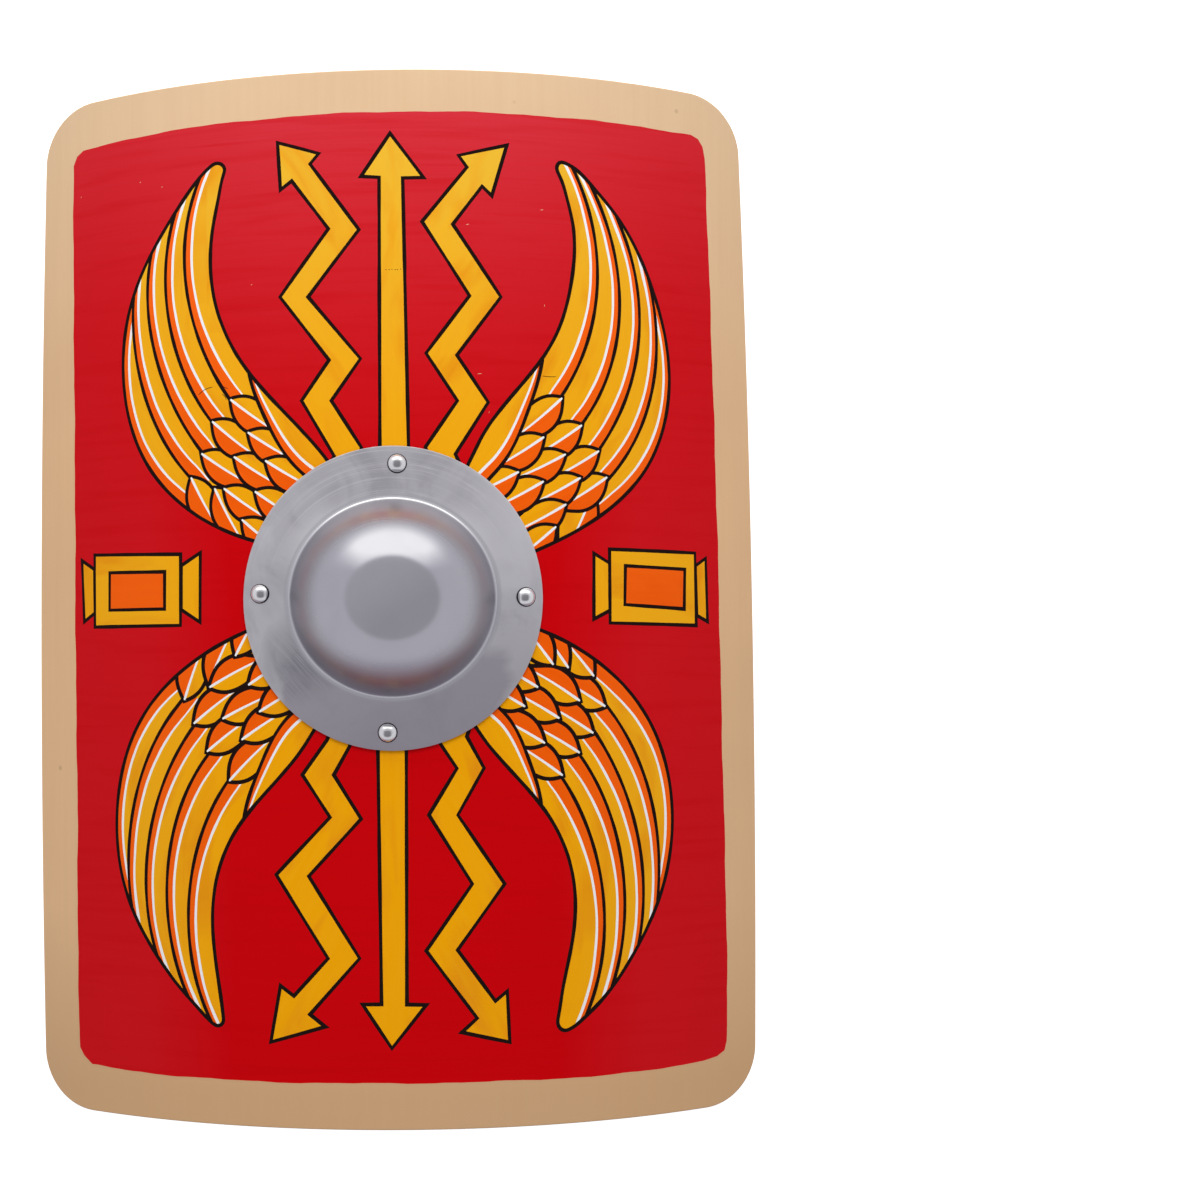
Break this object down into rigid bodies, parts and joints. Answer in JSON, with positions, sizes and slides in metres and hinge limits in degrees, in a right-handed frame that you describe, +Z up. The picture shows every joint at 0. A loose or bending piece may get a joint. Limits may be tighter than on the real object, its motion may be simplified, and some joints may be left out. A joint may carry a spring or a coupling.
{
  "type": "roman scutum shield",
  "caption": "Curved rectangular plywood shield with a domed steel boss riveted over the hand hole, painted wings and thunderbolts, and a wooden bar grip behind.",
  "frame": {"origin": "on the ground under the middle of the shield, which lies on its two long edges with its hollow back down", "axes": "+Z up, out of the shield's face; +Y towards the shield's top edge; +X to the right seen from the front"},
  "size_m": [0.5178, 0.72, 0.1315],
  "materials": {
    "painted_board": "satin hand-painted plywood with a bare border",
    "boss_steel": "satin polished",
    "rivet_steel": "polished",
    "grip_wood": "sanded, bare"
  },
  "bodies": {
    "root": {"board": "painted_board", "boss": "boss_steel", "grip": "grip_wood", "rivet_top": "rivet_steel", "rivet_right": "rivet_steel", "rivet_bottom": "rivet_steel", "rivet_left": "rivet_steel"}
  },
  "joints": []
}
